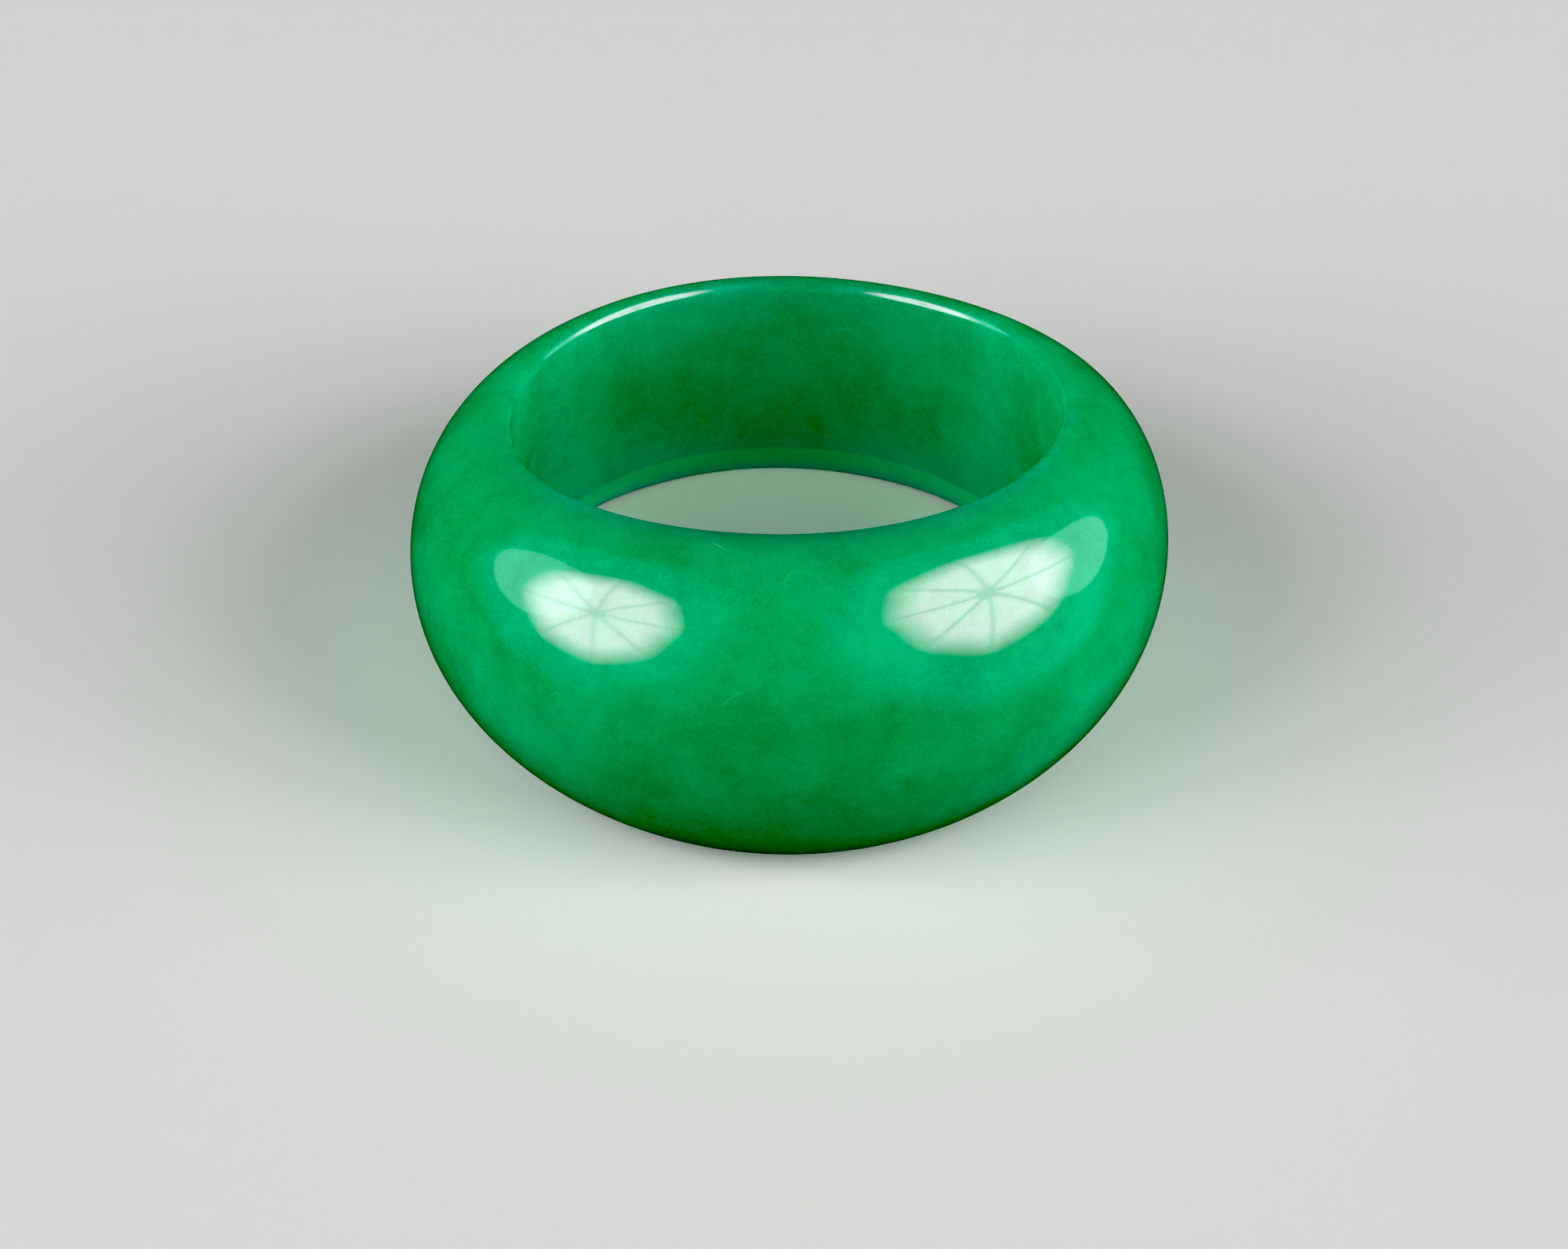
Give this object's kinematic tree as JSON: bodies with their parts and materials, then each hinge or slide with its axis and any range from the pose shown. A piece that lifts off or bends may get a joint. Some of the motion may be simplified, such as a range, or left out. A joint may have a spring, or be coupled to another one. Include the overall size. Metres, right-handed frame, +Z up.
{
  "type": "archer's thumb ring",
  "caption": "Carved green stone ring for an archer's thumb: a round bore and a domed wall, thick and tall at the front, thin and low at the back.",
  "frame": {"origin": "on the surface that the ring lies on, at the middle of its footprint", "axes": "+Z up from that surface; -Y towards the thick, tall front; +Y towards the thin, low back; +X to the right, seen from the front"},
  "size_m": [0.0276, 0.0266, 0.0131],
  "materials": {
    "jade": "high polish, translucent"
  },
  "bodies": {
    "root": {"thumb_ring": "jade"}
  },
  "joints": []
}
